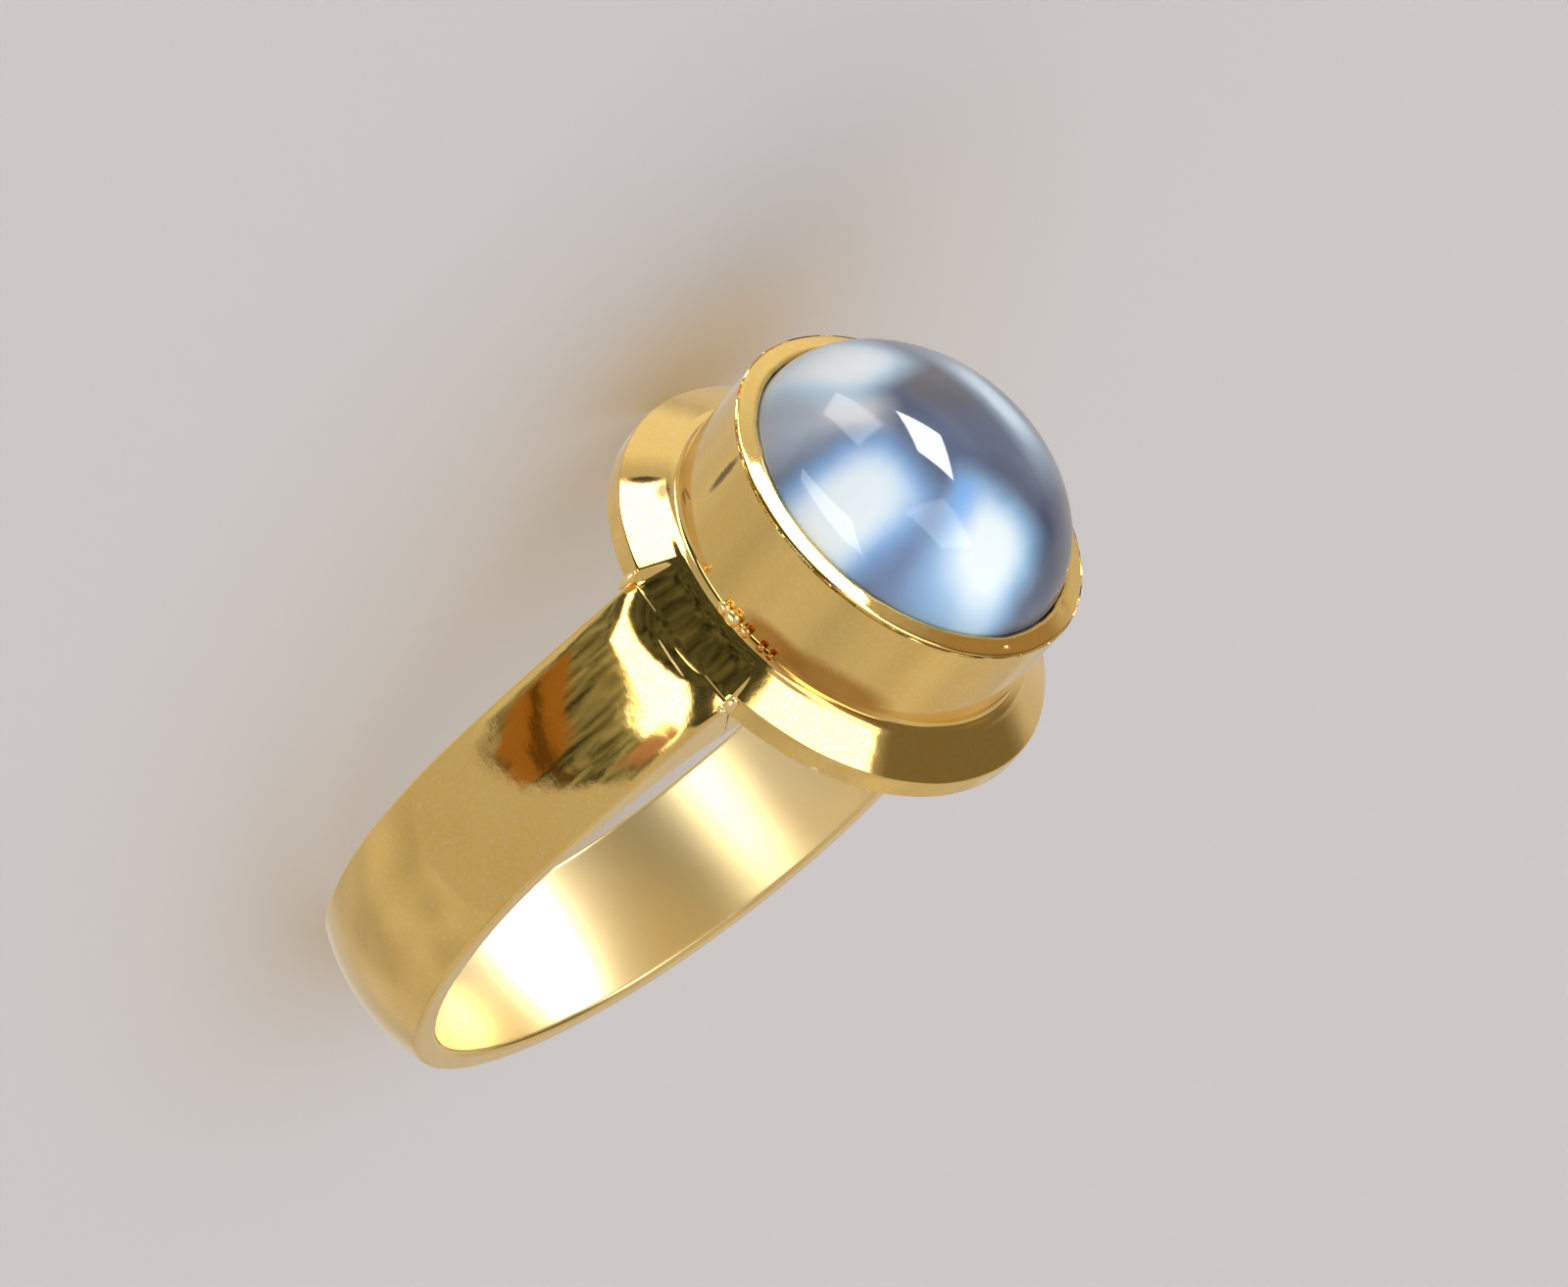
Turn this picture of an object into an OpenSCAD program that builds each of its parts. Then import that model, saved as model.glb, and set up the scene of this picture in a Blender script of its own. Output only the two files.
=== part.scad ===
// Cabochon ring in millimetres: a round domed stone in a plain collar, rubbed over its edge,
// on a wide round plate that is soldered to the top of a band with a rounded outside.
// The ring is drawn upright, with the finger hole along Y and the stone towards +Z.
// It is then laid on its side, where it rests on the plate's lower edge and the band's edge.

/* [Band] */
// Inside radius of the band, where the finger goes
finger_r = 8.6; // [7.5:0.1:10.5]
// Width of the band along the finger hole
band_w = 4.2; // [3.4:0.1:5]
// Thickness of the band at its two edges
edge_t = 0.7; // [0.5:0.05:0.9]
// Extra thickness along the middle of the band's rounded outside
crown_h = 0.4; // [0.2:0.05:0.6]
// Rounding of the band's edges
edge_round = 0.15; // [0.05:0.05:0.2]

/* [Plate] */
// Radius of the round plate under the collar
plate_r = 6.6; // [6.2:0.1:7.2]
// Height of the plate's upright rim
plate_rim_t = 0.6; // [0.4:0.05:0.8]
// Rise of the plate's sloping top, from its rim to the foot of the collar
plate_rise = 0.75; // [0.5:0.05:1]
// Height of the plate's flat underside above the finger hole
plate_lift = 0.05; // [0.03:0.01:0.1]

/* [Collar] */
// Outside radius of the collar
collar_r = 5.3; // [5.1:0.1:5.6]
// Thickness of the collar's wall
wall_t = 0.3; // [0.25:0.05:0.4]
// Height of the collar above the foot on the plate
collar_h = 3.1; // [2.6:0.1:3.6]
// Width of the flat rim that is rubbed over the stone
rim_w = 0.57; // [0.5:0.01:0.65]
// Rounding of the rim's outer edge
rim_round = 0.12; // [0.05:0.01:0.15]
// Radius of the fillet of solder at the collar's foot
foot_fillet = 0.14; // [0.08:0.02:0.2]
// Thickness of the floor under the stone, above the foot of the collar
floor_t = 0.2; // [0.1:0.05:0.3]

/* [Stone] */
// Gap all round between the stone and the metal
stone_gap = 0.05; // [0.03:0.01:0.08]
// Height of the dome above the stone's widest part inside the collar's lip
dome_h = 3.25; // [2.6:0.05:3.8]
// Depth below the rim at which the dome starts
dome_sink = 0.4; // [0.3:0.05:0.5]
// Depth below the rim at which the collar starts to lean in over the stone
lip_h = 0.75; // [0.6:0.05:0.9]
// Bevel around the stone's flat base
base_bevel = 0.35; // [0.2:0.05:0.5]

/* [Hidden] */
$fn = 96;

// Band section: the side's radius, the middle's radius and the arc between them
edge_r = finger_r + edge_t;
crown_r = edge_r + crown_h;
half_w = band_w / 2;
arc_r = (half_w * half_w + crown_h * crown_h) / (2 * crown_h);
arc_c = crown_r - arc_r;
round_c = arc_c + sqrt(pow(arc_r - edge_round, 2) - pow(half_w - edge_round, 2));
round_a = atan2(half_w - edge_round, round_c - arc_c);

// Heights above the centre of the finger hole
plate_z = finger_r + plate_lift;
plate_top = plate_z + plate_rim_t;
foot_z = plate_top + plate_rise;
rim_z = foot_z + collar_h;
floor_z = foot_z + floor_t;
lip_z = rim_z - lip_h;
dome_z = rim_z - dome_sink;
pocket_r = collar_r - wall_t;
lip_r = collar_r - rim_w;
lip_round = 0.06;
girdle_r = pocket_r - stone_gap;
dome_r = lip_r - stone_gap / 2;

// Straight shoulders: where their edges reach the plate's lower edge, the angle above the side
// at which they leave the round band, and how far their end is kept inside the plate's edge
corner_x = sqrt(plate_r * plate_r - half_w * half_w);
shoulder_a = atan2(plate_z, corner_x) - acos(edge_r / norm([corner_x, plate_z]));
end_z = plate_z + plate_rim_t / 2;
end_inset = 0.03;
core_x = finger_r / 3;

// Pose on its side: the tilt of the finger hole, the lowest point and the middle of the length
reach = [plate_z + round_c, plate_r - half_w + edge_round];
rest_tilt = acos(edge_round / norm(reach)) - atan2(reach[0], reach[1]);
low_z = plate_z * sin(rest_tilt) - plate_r * cos(rest_tilt);
crown_y = arc_c * cos(rest_tilt) + arc_r;
side_y = round_c * cos(rest_tilt) + (half_w - edge_round) * sin(rest_tilt) + edge_round;
band_y = rest_tilt < round_a ? crown_y : side_y;
dome_y = dome_z * cos(rest_tilt) + norm([dome_h * cos(rest_tilt), dome_r * sin(rest_tilt)]);
mid_y = (band_y - dome_y) / 2;

// Points of an arc about [x, y], from one angle to another in a number of steps
function arc(x, y, r, from, to, steps) =
    [for (i = [0:steps]) let (a = from + (to - from) * i / steps) [x + r * cos(a), y + r * sin(a)]];

// The same points on the other side of the middle line, in the opposite order
function mirrored(points) = [for (i = [len(points) - 1:-1:0]) [points[i][0], -points[i][1]]];

// Outline of one half of the band's section, from its inside to its crown
function outer_half() = concat(
    arc(round_c, half_w - edge_round, edge_round, 90, round_a, 4),
    arc(arc_c, 0, arc_r, round_a, 0, 8));

// Section of the band and shoulders before the finger hole is cut: x is the distance from its axis
module band_section() {
    half = concat([[core_x, half_w]], outer_half());
    polygon(concat(half, mirrored(half)));
}

// Round part of the band, from one shoulder down and round to the other
module round_band() {
    rotate([90, shoulder_a - 180, 0])
        rotate_extrude(angle = 180 + 2 * shoulder_a)
            band_section();
}

// Straight shoulder from the round part up to the plate, filed back to the plate's lower edge
module shoulder() {
    intersection() {
        rotate([0, -shoulder_a, 0])
            linear_extrude(height = crown_r)
                band_section();
        cylinder(r1 = plate_r - end_inset + plate_z, r2 = plate_r - end_inset - plate_rim_t / 2, h = end_z);
    }
}

// Finger hole: a straight bore with a small bevel at each mouth
module finger_hole() {
    flare = edge_round + 0.5;
    rotate([90, 0, 0])
        rotate_extrude()
            polygon([
                [0, -half_w - 0.5], [finger_r + flare, -half_w - 0.5],
                [finger_r, -half_w + edge_round], [finger_r, half_w - edge_round],
                [finger_r + flare, half_w + 0.5], [0, half_w + 0.5]]);
}

// Plate, collar and lip as one turned shape, with the pocket for the stone
module head() {
    fillet = arc(collar_r + foot_fillet, foot_z + foot_fillet, foot_fillet, -90, -180, 4);
    rounding = arc(collar_r - rim_round, rim_z - rim_round, rim_round, 0, 90, 4);
    rotate_extrude()
        polygon(concat(
            [[0, plate_z], [plate_r, plate_z], [plate_r, plate_top]],
            fillet,
            rounding,
            [[lip_r + lip_round, rim_z], [lip_r, rim_z - lip_round]],
            [[pocket_r, lip_z], [pocket_r, floor_z], [0, floor_z]]));
}

// Lays the upright ring on its side, with the middle of its footprint at the origin
module laid_down() {
    translate([0, -mid_y, -low_z])
        rotate([90 - rest_tilt, 0, 0])
            children();
}

// Band, shoulders, plate and collar, soldered into one piece of gold
module gold_mount() {
    color("#d2a548")
        laid_down()
            union() {
                difference() {
                    union() {
                        round_band();
                        shoulder();
                        mirror([1, 0, 0])
                            shoulder();
                    }
                    finger_hole();
                }
                head();
            }
}

// Domed stone with a flat, bevelled base, held under the lip of the collar
module moonstone() {
    base_z = floor_z + stone_gap;
    color("#7d90b8")
        laid_down()
            rotate_extrude()
                polygon(concat(
                    [[0, base_z], [girdle_r - base_bevel, base_z], [girdle_r, base_z + base_bevel]],
                    [[girdle_r, lip_z - stone_gap]],
                    [for (i = [0:20]) let (a = 90 * i / 20) [dome_r * cos(a), dome_z + dome_h * sin(a)]]));
}

gold_mount();
moonstone();
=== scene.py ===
"""Cabochon ring: the dressed model of a gold ring with a domed moonstone, lying on its side.

All sizes are in millimetres in the ring's own upright frame until the last step of each mesh:
x across the finger, y along the finger hole, z towards the stone, with the origin at the centre
of the finger hole. RestPose then lays the ring on its side and turns millimetres to metres.
"""

import logging
import math
from collections.abc import Sequence
from dataclasses import dataclass
from enum import Enum

import bmesh
import bpy
from mathutils import Matrix, Vector, noise


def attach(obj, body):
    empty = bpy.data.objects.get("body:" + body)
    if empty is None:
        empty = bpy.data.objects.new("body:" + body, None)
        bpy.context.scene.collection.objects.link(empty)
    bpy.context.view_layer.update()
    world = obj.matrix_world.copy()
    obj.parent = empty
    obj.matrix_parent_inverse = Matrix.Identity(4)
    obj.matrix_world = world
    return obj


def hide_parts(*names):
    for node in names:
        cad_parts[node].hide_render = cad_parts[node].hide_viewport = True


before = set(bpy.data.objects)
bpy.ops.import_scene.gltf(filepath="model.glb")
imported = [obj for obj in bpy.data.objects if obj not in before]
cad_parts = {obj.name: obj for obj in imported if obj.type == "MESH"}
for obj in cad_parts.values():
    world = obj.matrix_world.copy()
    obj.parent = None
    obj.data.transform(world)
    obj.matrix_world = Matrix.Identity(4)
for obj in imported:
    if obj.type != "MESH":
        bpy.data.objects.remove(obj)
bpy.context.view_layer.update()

logging.basicConfig(level=logging.INFO, format="%(message)s")
log = logging.getLogger("cabochon_ring")

Pair = tuple[float, float]
Point = tuple[float, float, float]
Colour = tuple[float, float, float, float]
Tree = bpy.types.NodeTree
Socket = bpy.types.NodeSocket
Material = bpy.types.Material
Thing = bpy.types.Object


def linear(hex_code: str) -> Colour:
    """Turns an sRGB hex colour into Blender's linear colour.

    Args:
        hex_code: six hex digits with a leading hash.

    Returns:
        Red, green and blue in linear light, with an alpha of one.
    """
    parts = [int(hex_code[i : i + 2], 16) / 255 for i in (1, 3, 5)]
    low = [p / 12.92 if p <= 0.04045 else ((p + 0.055) / 1.055) ** 2.4 for p in parts]
    return (low[0], low[1], low[2], 1.0)


def add_node(tree: Tree, kind: str, links: dict | None = None, **settings: object) -> bpy.types.Node:
    """Adds one node with its settings, its plain input values and its links.

    Args:
        tree: the node tree that gets the node.
        kind: the node's type name.
        links: input name or number to an output socket, or to a plain value.
        settings: attributes of the node itself.

    Returns:
        The new node.
    """
    node = tree.nodes.new(kind)
    for name, value in settings.items():
        setattr(node, name, value)
    for key, value in (links or {}).items():
        socket = node.inputs[key]
        if isinstance(value, Socket):
            tree.links.new(value, socket)
        else:
            socket.default_value = value
    return node


@dataclass(frozen=True)
class RestPose:
    """How the upright ring comes to lie on its side.

    Attributes:
        tilt: angle in degrees between the finger hole and the vertical.
        middle_y: place of the footprint's middle before it is moved to the origin.
        low_z: height of the lowest point before the ring is set on the surface.
    """

    tilt: float
    middle_y: float
    low_z: float

    def place(self, point: Sequence[float]) -> Vector:
        """Gives a point its place in the scene.

        Args:
            point: place in the upright ring, in millimetres.

        Returns:
            The place in the scene, in metres.
        """
        turned = self.turn(point)
        return Vector((turned.x, turned.y - self.middle_y, turned.z - self.low_z)) * 0.001

    def turn(self, direction: Sequence[float]) -> Vector:
        """Turns a direction of the upright ring into the scene.

        Args:
            direction: across the finger, along the hole and towards the stone.

        Returns:
            The same direction in the scene, neither moved nor scaled.
        """
        across, along, out = direction
        s, c = math.sin(math.radians(self.tilt)), math.cos(math.radians(self.tilt))
        return Vector((across, along * s - out * c, along * c + out * s))

    def frame(self) -> Matrix:
        """Gives the ring's three directions in the scene, as the columns of a matrix."""
        return Matrix([self.turn(v) for v in ((1, 0, 0), (0, 1, 0), (0, 0, 1))]).transposed()


def crown_arc(edge_r: float, half_w: float, crown_h: float, edge_round: float) -> tuple[float, float, float]:
    """Works out the arc of the band's rounded outside.

    Args:
        edge_r: radius of the band at its edges.
        half_w: half of the band's width.
        crown_h: how far the middle of the outside stands above its edges.
        edge_round: rounding of the edges.

    Returns:
        The arc's radius, and the distances from the hole's axis to the arc's middle and to the
        middle of the edge's rounding.
    """
    radius = (half_w**2 + crown_h**2) / (2 * crown_h)
    middle = edge_r + crown_h - radius
    corner = middle + math.sqrt((radius - edge_round) ** 2 - (half_w - edge_round) ** 2)
    return radius, middle, corner


@dataclass(frozen=True)
class RingSizes:
    """Driving sizes of the ring, in millimetres, as its solids have them.

    Attributes:
        finger_r: radius of the finger hole.
        band_w: width of the band.
        edge_t: thickness at the band's edges.
        crown_h: extra thickness along the middle of the outside.
        edge_round: rounding of the band's edges.
        plate_z: height of the plate's underside.
        plate_r: radius of the plate.
        dome_z: height at which the stone's dome starts.
        dome_r: radius of the dome there.
        dome_h: height of the dome.
    """

    finger_r: float = 8.6
    band_w: float = 4.2
    edge_t: float = 0.7
    crown_h: float = 0.4
    edge_round: float = 0.15
    plate_z: float = 8.65
    plate_r: float = 6.6
    dome_z: float = 12.7
    dome_r: float = 4.705
    dome_h: float = 3.25

    def lie_down(self) -> RestPose:
        """Works out how the ring rests on the plate's lower edge and on the band's rounded edge.

        Returns:
            The pose, which is the solids' own.
        """
        half_w = self.band_w / 2
        radius, middle, corner = crown_arc(self.finger_r + self.edge_t, half_w, self.crown_h, self.edge_round)
        across, along = self.plate_z + corner, self.plate_r - half_w + self.edge_round
        tilt = math.acos(self.edge_round / math.hypot(across, along)) - math.atan2(across, along)
        s, c = math.sin(tilt), math.cos(tilt)
        band_y = middle * c + radius
        dome_y = self.dome_z * c + math.hypot(self.dome_h * c, self.dome_r * s)
        return RestPose(math.degrees(tilt), (band_y - dome_y) / 2, self.plate_z * s - self.plate_r * c)


RING = RingSizes()
POSE = RING.lie_down()


class Solid(Enum):
    """The solids of the fixed frame that the dressed pieces stand for."""

    MOUNT = "gold_mount"
    STONE = "moonstone"


class Slot(Enum):
    """The record's material slots."""

    GOLD = "yellow_gold"
    STONE = "moonstone"


def ring_place(tree: Tree) -> Socket:
    """Adds nodes that give a surface point's place in the upright ring, in millimetres.

    Args:
        tree: the material's node tree.

    Returns:
        The vector output: across the finger, along the hole and towards the stone.
    """
    spot = add_node(tree, "ShaderNodeTexCoord").outputs["Object"]
    lay = {
        "Vector": spot,
        "Location": POSE.place((0, 0, 0)),
        "Rotation": POSE.frame().to_euler(),
        "Scale": (0.001, 0.001, 0.001),
    }
    return add_node(tree, "ShaderNodeMapping", lay, vector_type="TEXTURE").outputs[0]


class MeshMaker:
    """Collects a piece's points and faces in millimetres and turns them into one object."""

    def __init__(self, name: str) -> None:
        """Starts an empty piece.

        Args:
            name: the name that it keeps.
        """
        self.name = name
        self.points: list[Point] = []
        self.faces: list[tuple[int, ...]] = []

    def grid(self, rows: Sequence[Sequence[Point]], wrap_rows: bool, wrap_columns: bool) -> int:
        """Adds a grid of quads.

        Args:
            rows: rows of points, all of the same length.
            wrap_rows: joins the last row to the first.
            wrap_columns: joins the last point of each row to its first.

        Returns:
            The number of the grid's first point.
        """
        base, wide, high = len(self.points), len(rows[0]), len(rows)
        self.points.extend(p for row in rows for p in row)
        for i in range(high if wrap_rows else high - 1):
            for j in range(wide if wrap_columns else wide - 1):
                a, b = base + i * wide, base + (i + 1) % high * wide
                self.faces.append((a + j, a + (j + 1) % wide, b + (j + 1) % wide, b + j))
        return base

    def finish(self, material: Material) -> Thing:
        """Makes the object: merges doubles, turns faces outwards, lays it on its side.

        Args:
            material: the finish of the whole piece.

        Returns:
            The finished object, at the origin.
        """
        mesh = bpy.data.meshes.new(self.name)
        mesh.from_pydata([POSE.place(p) for p in self.points], [], self.faces)
        shape = bmesh.new()
        shape.from_mesh(mesh)
        bmesh.ops.remove_doubles(shape, verts=shape.verts, dist=1e-8)
        bmesh.ops.recalc_face_normals(shape, faces=shape.faces)
        if shape.calc_volume(signed=True) < 0:
            bmesh.ops.reverse_faces(shape, faces=shape.faces)
        for face in shape.faces:
            face.smooth = True
        shape.to_mesh(mesh)
        shape.free()
        mesh.materials.append(material)
        piece = bpy.data.objects.new(self.name, mesh)
        bpy.context.scene.collection.objects.link(piece)
        return piece


@dataclass(frozen=True)
class Wave:
    """Slight smooth waves that hand work and wear left on the metal.

    Attributes:
        height: height of the waves above and below their middle.
        width: width of one wave in millimetres.
        seed: moves the pattern, so that two of them differ.
    """

    height: float
    width: float
    seed: float

    def at(self, point: Point) -> float:
        """Gives the height of the waves at a point.

        Args:
            point: place in millimetres.

        Returns:
            The height there, in the units of the wave's own height.
        """
        shift = Vector((self.seed, self.seed * 1.7, self.seed * 2.3))
        return self.height * noise.noise(Vector(point) / self.width + shift)


def ramp(value: float, start: float, end: float) -> float:
    """Gives how far a value has come from the start to the end, from 0 to 1."""
    return max(0.0, min(1.0, (value - start) / (end - start)))


def arc(x: float, y: float, radius: float, start: float, end: float, steps: int) -> list[Pair]:
    """Points of an arc in a plane.

    Args:
        x: first coordinate of its middle.
        y: second coordinate of its middle.
        radius: its radius.
        start: angle of its first point, in degrees.
        end: angle of its last point, in degrees.
        steps: number of equal parts.

    Returns:
        The points, one more than the parts.
    """
    angles = [math.radians(start + (end - start) * i / steps) for i in range(steps + 1)]
    return [(x + radius * math.cos(a), y + radius * math.sin(a)) for a in angles]


def between(a: float, b: float, steps: int) -> list[float]:
    """Evenly spaced values from a up to, but not including, b."""
    return [a + (b - a) * i / steps for i in range(steps)]


@dataclass
class Band:
    """Round band with a rounded outside and two straight solid shoulders up to the plate.

    Attributes:
        finger_r: radius of the finger hole.
        half_w: half of the band's width, less 2 micrometres that keep it inside the solid's box.
        edge_t: thickness at the band's edges.
        crown_h: extra thickness along the middle of the outside.
        edge_round: rounding of all four edges.
        plate_z: height of the plate's underside.
        plate_r: radius of the plate.
        bury: how far the shoulders run up into the plate.
        shoulder_start: angle above the side at which the shoulders start to straighten.
        turn_in: length below the plate over which the crown is hammered in.
        turned_share: part of the crown that is gone at the plate.
        wave: the waves left by the hammer and the file.
        sink: how far their middle lies below the true surface.
        calm: heights above the outside edges between which the waves grow.
    """

    finger_r: float = RING.finger_r
    half_w: float = RING.band_w / 2 - 0.002
    edge_t: float = RING.edge_t
    crown_h: float = RING.crown_h
    edge_round: float = RING.edge_round
    plate_z: float = RING.plate_z
    plate_r: float = RING.plate_r
    bury: float = 0.25
    shoulder_start: float = 20.0
    turn_in: float = 1.25
    turned_share: float = 0.32
    wave: Wave = Wave(0.011, 2.6, 3.1)
    sink: float = 0.0066
    calm: Pair = (-0.1, 0.15)

    def outline(self) -> tuple[list[Pair], list[Pair]]:
        """Half of the band's section, in two runs.

        Returns:
            The inside run, from the middle of the bore to the side, and the outside run, from the
            side to the crown. Each point is a distance from the hole's axis and a place along it.
        """
        r, w, e = self.finger_r, self.half_w, self.edge_round
        big, middle, corner = crown_arc(r + self.edge_t, w, self.crown_h, e)
        meet = math.degrees(math.atan2(w - e, corner - middle))
        inside = [(r, y) for y in between(0.0, w - e - 0.03, 14)]
        inside += [(r, w - e - 0.03)] + arc(r + e, w - e, e, 180, 90, 7)
        inside += [(r + e + 0.02, w)]
        outside = [(corner - 0.02, w)] + arc(corner, w - e, e, 90, meet, 7)
        outside += arc(middle, 0.0, big, meet * 0.985, 0.0, 26)
        return inside, outside

    def stations(self) -> list[tuple[Pair, Pair, float]]:
        """Places round the ring where the section is set.

        Returns:
            For each place the outside edge's point, the direction in which the crown stands out,
            both as (x, z), and how much of the crown is left there.
        """
        edge_r = self.finger_r + self.edge_t
        lean = math.radians(self.shoulder_start)
        first = Vector((math.cos(lean), math.sin(lean)))
        chord = Vector((math.sqrt(self.plate_r**2 - self.half_w**2), self.plate_z)) - first * edge_r
        bow_r = -chord.length_squared / (2 * chord.dot(first))
        middle = first * (edge_r - bow_r)
        last = first * edge_r + chord - middle
        turn = math.atan2(last.y, last.x) - lean
        extra = self.bury / bow_r
        half = []
        steps = 70
        for i in reversed(range(steps + 1)):
            angle = lean + (turn + extra) * i / steps
            out = Vector((math.cos(angle), math.sin(angle)))
            near = max(0.0, 1 - (lean + turn - angle) * bow_r / self.turn_in)
            half.append((tuple(middle + out * bow_r), tuple(out), 1 - self.turned_share * near * near))
        for angle in between(lean - 0.008, -math.pi / 2, 140):
            ray = (math.cos(angle), math.sin(angle))
            half.append(((edge_r * ray[0], edge_r * ray[1]), ray, 1.0))
        end_z = half[0][0][1]
        top = half[0][0][0]
        cover = [((-top * math.cos(math.pi * i / 40), end_z), (0.0, 1.0), 0.2) for i in range(1, 40)]
        bottom = [((0.0, -edge_r), (0.0, -1.0), 1.0)]
        other = [((-p[0], p[1]), (-n[0], n[1]), k) for p, n, k in reversed(half)]
        return half + bottom + other + cover

    def build(self, material: Material) -> Thing:
        """Sweeps the section round the ring.

        Args:
            material: its finish.

        Returns:
            One closed piece, at the origin.
        """
        inside, outside = self.outline()
        edge_r = self.finger_r + self.edge_t
        maker = MeshMaker("band_and_shoulders")
        rows: list[list[Point]] = []
        for place, out, share in self.stations():
            turn = math.atan2(place[1], place[0])
            ray = (math.cos(turn), math.sin(turn))
            half: list[Point] = [(r * ray[0], y, r * ray[1]) for r, y in inside]
            for x, y in outside:
                rise = (x - edge_r) * (share if x > edge_r else 1.0)
                spot = (place[0] + out[0] * rise, y, place[1] + out[1] * rise)
                wave = (self.wave.at(spot) - self.sink) * ramp(x - edge_r, *self.calm)
                half.append((spot[0] + out[0] * wave, y, spot[2] + out[1] * wave))
            mirror = [(p[0], -p[1], p[2]) for p in reversed(half[1:-1])]
            rows.append(half + mirror)
        maker.grid(rows, wrap_rows=True, wrap_columns=True)
        return maker.finish(material)


@dataclass
class Head:
    """Round plate with a sloping top, and the collar with its lip rubbed over the stone.

    Attributes:
        plate_r: radius of the plate.
        plate_z: height of its underside.
        rim_t: height of its upright rim.
        foot_z: height at which the collar stands on it.
        collar_r: outside radius of the collar.
        pocket_r: inside radius of the collar.
        floor_z: height of the floor under the stone.
        lip_z: height at which the collar starts to lean in.
        lip_r: inside radius of the lip.
        top_z: height of the collar's rim.
        filed_half: half of the angle over which each shoulder's end of the plate is filed.
        filed_end: angle over which the filing runs out at each seam.
        filed_lean: angle above the side at which the filed slope faces.
        filed_inset: how far the slope's foot lies inside the plate's lower edge.
        filed_round: rounding where the slope meets the plate's top.
        rim_slope: slope of the rim down from the lip to the collar's wall.
        near: how far from the collar's foot and from its top the waves change.
        edge_wave: how far the plate's edge wanders.
        slope_wave: the waves on the plate's sloping top.
        wall_wave: the waves of the collar's wall.
        rim_wave: the waves of the rim's height.
        rim_inward: how far the rim wanders inwards.
        blows: the marks of the tool that rubbed the lip over the stone, without a size.
        blow_reach: how far those marks push the lip's edge out.
        blow_dent: how far they dent it.
        lip_gap: how far the lip's edge may come nearer to the stone.
    """

    plate_r: float = RING.plate_r
    plate_z: float = RING.plate_z
    rim_t: float = 0.6
    foot_z: float = 10.0
    collar_r: float = 5.3
    pocket_r: float = 5.0
    floor_z: float = 10.2
    lip_z: float = 12.35
    lip_r: float = 4.7
    top_z: float = 13.1
    filed_half: float = 18.6
    filed_end: float = 0.7
    filed_lean: float = 38.0
    filed_inset: float = 0.02
    filed_round: float = 0.09
    rim_slope: float = 15.0
    near: float = 0.3
    edge_wave: Wave = Wave(0.02, 2.2, 8.2)
    slope_wave: Wave = Wave(0.008, 1.6, 5.0)
    wall_wave: Wave = Wave(0.006, 1.8, 4.0)
    rim_wave: Wave = Wave(0.006, 1.3, 2.0)
    rim_inward: Wave = Wave(0.005, 1.1, 9.0)
    blows: tuple[Wave, ...] = (Wave(1.0, 0.9, 1.4), Wave(0.6, 0.35, 6.4))
    blow_reach: float = 0.035
    blow_dent: float = 0.008
    lip_gap: float = 0.012

    def outline(self) -> list[Pair]:
        """Profile of the head.

        Returns:
            Its points, from the middle of the underside to the middle of the floor.
        """
        under, edge, foot, rim, lip = 0.06, 0.09, 0.16, 0.13, 0.05
        top = self.plate_z + self.rim_t
        slope = math.degrees(math.atan2(self.foot_z - top, self.plate_r - self.collar_r))
        line = [(x, self.plate_z) for x in between(0.0, self.plate_r - under - 0.03, 12)]
        line += [(self.plate_r - under - 0.03, self.plate_z)]
        line += arc(self.plate_r - under, self.plate_z + under, under, -90, 0, 6)
        line += [(self.plate_r, z) for z in between(self.plate_z + under + 0.02, top - edge, 6)]
        line += arc(self.plate_r - edge, top - edge * 0.8, edge, 0, 90 - slope, 6)
        start, end = line[-1], (self.collar_r + foot, self.foot_z + 0.01)
        run, rise = end[0] - start[0], end[1] - start[1]
        line += [(start[0] + run * t, start[1] + rise * t) for t in between(0.04, 1, 16)]
        line += arc(self.collar_r + foot, self.foot_z + foot, foot, -110, -180, 8)
        line += [(self.collar_r, z) for z in between(self.foot_z + foot + 0.03, self.top_z - rim - 0.03, 26)]
        line += [(self.collar_r, self.top_z - rim - 0.02)]
        line += self.rim(rim, lip)
        line += [(self.pocket_r, self.lip_z), (self.pocket_r, self.floor_z + 0.05)]
        line += [(self.pocket_r - 0.05, self.floor_z), (0.0, self.floor_z)]
        return line

    def rim(self, outer: float, inner: float) -> list[Pair]:
        """Profile of the hammered rim, from the collar's wall over its low crown to the lip's edge.

        Args:
            outer: rounding of the outer edge.
            inner: rounding of the lip's edge.

        Returns:
            The points of the rim, outside first.
        """
        top, peak, slope = self.top_z - 0.004, self.lip_r + 0.06, math.radians(self.rim_slope)
        start = self.collar_r - outer
        bend = 0.45
        turned = peak + bend * math.sin(slope)
        shoulder = top - bend * (1 - math.cos(slope))
        end = start + outer * math.sin(slope)
        end_z = shoulder - (end - turned) * math.tan(slope)
        line = arc(start, end_z - outer * math.cos(slope), outer, 0, 90 - self.rim_slope, 8)
        line += [(end + (turned - end) * t, end_z + (shoulder - end_z) * t) for t in between(0.12, 1.0, 6)]
        line += [(peak + bend * math.sin(a), top - bend * (1 - math.cos(a))) for a in between(slope, 0.0, 5)]
        line += [(peak, top), (self.lip_r + inner, top - 0.006)]
        line += arc(self.lip_r + inner, top - 0.006 - inner, inner, 75, 180, 6)
        return line

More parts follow.
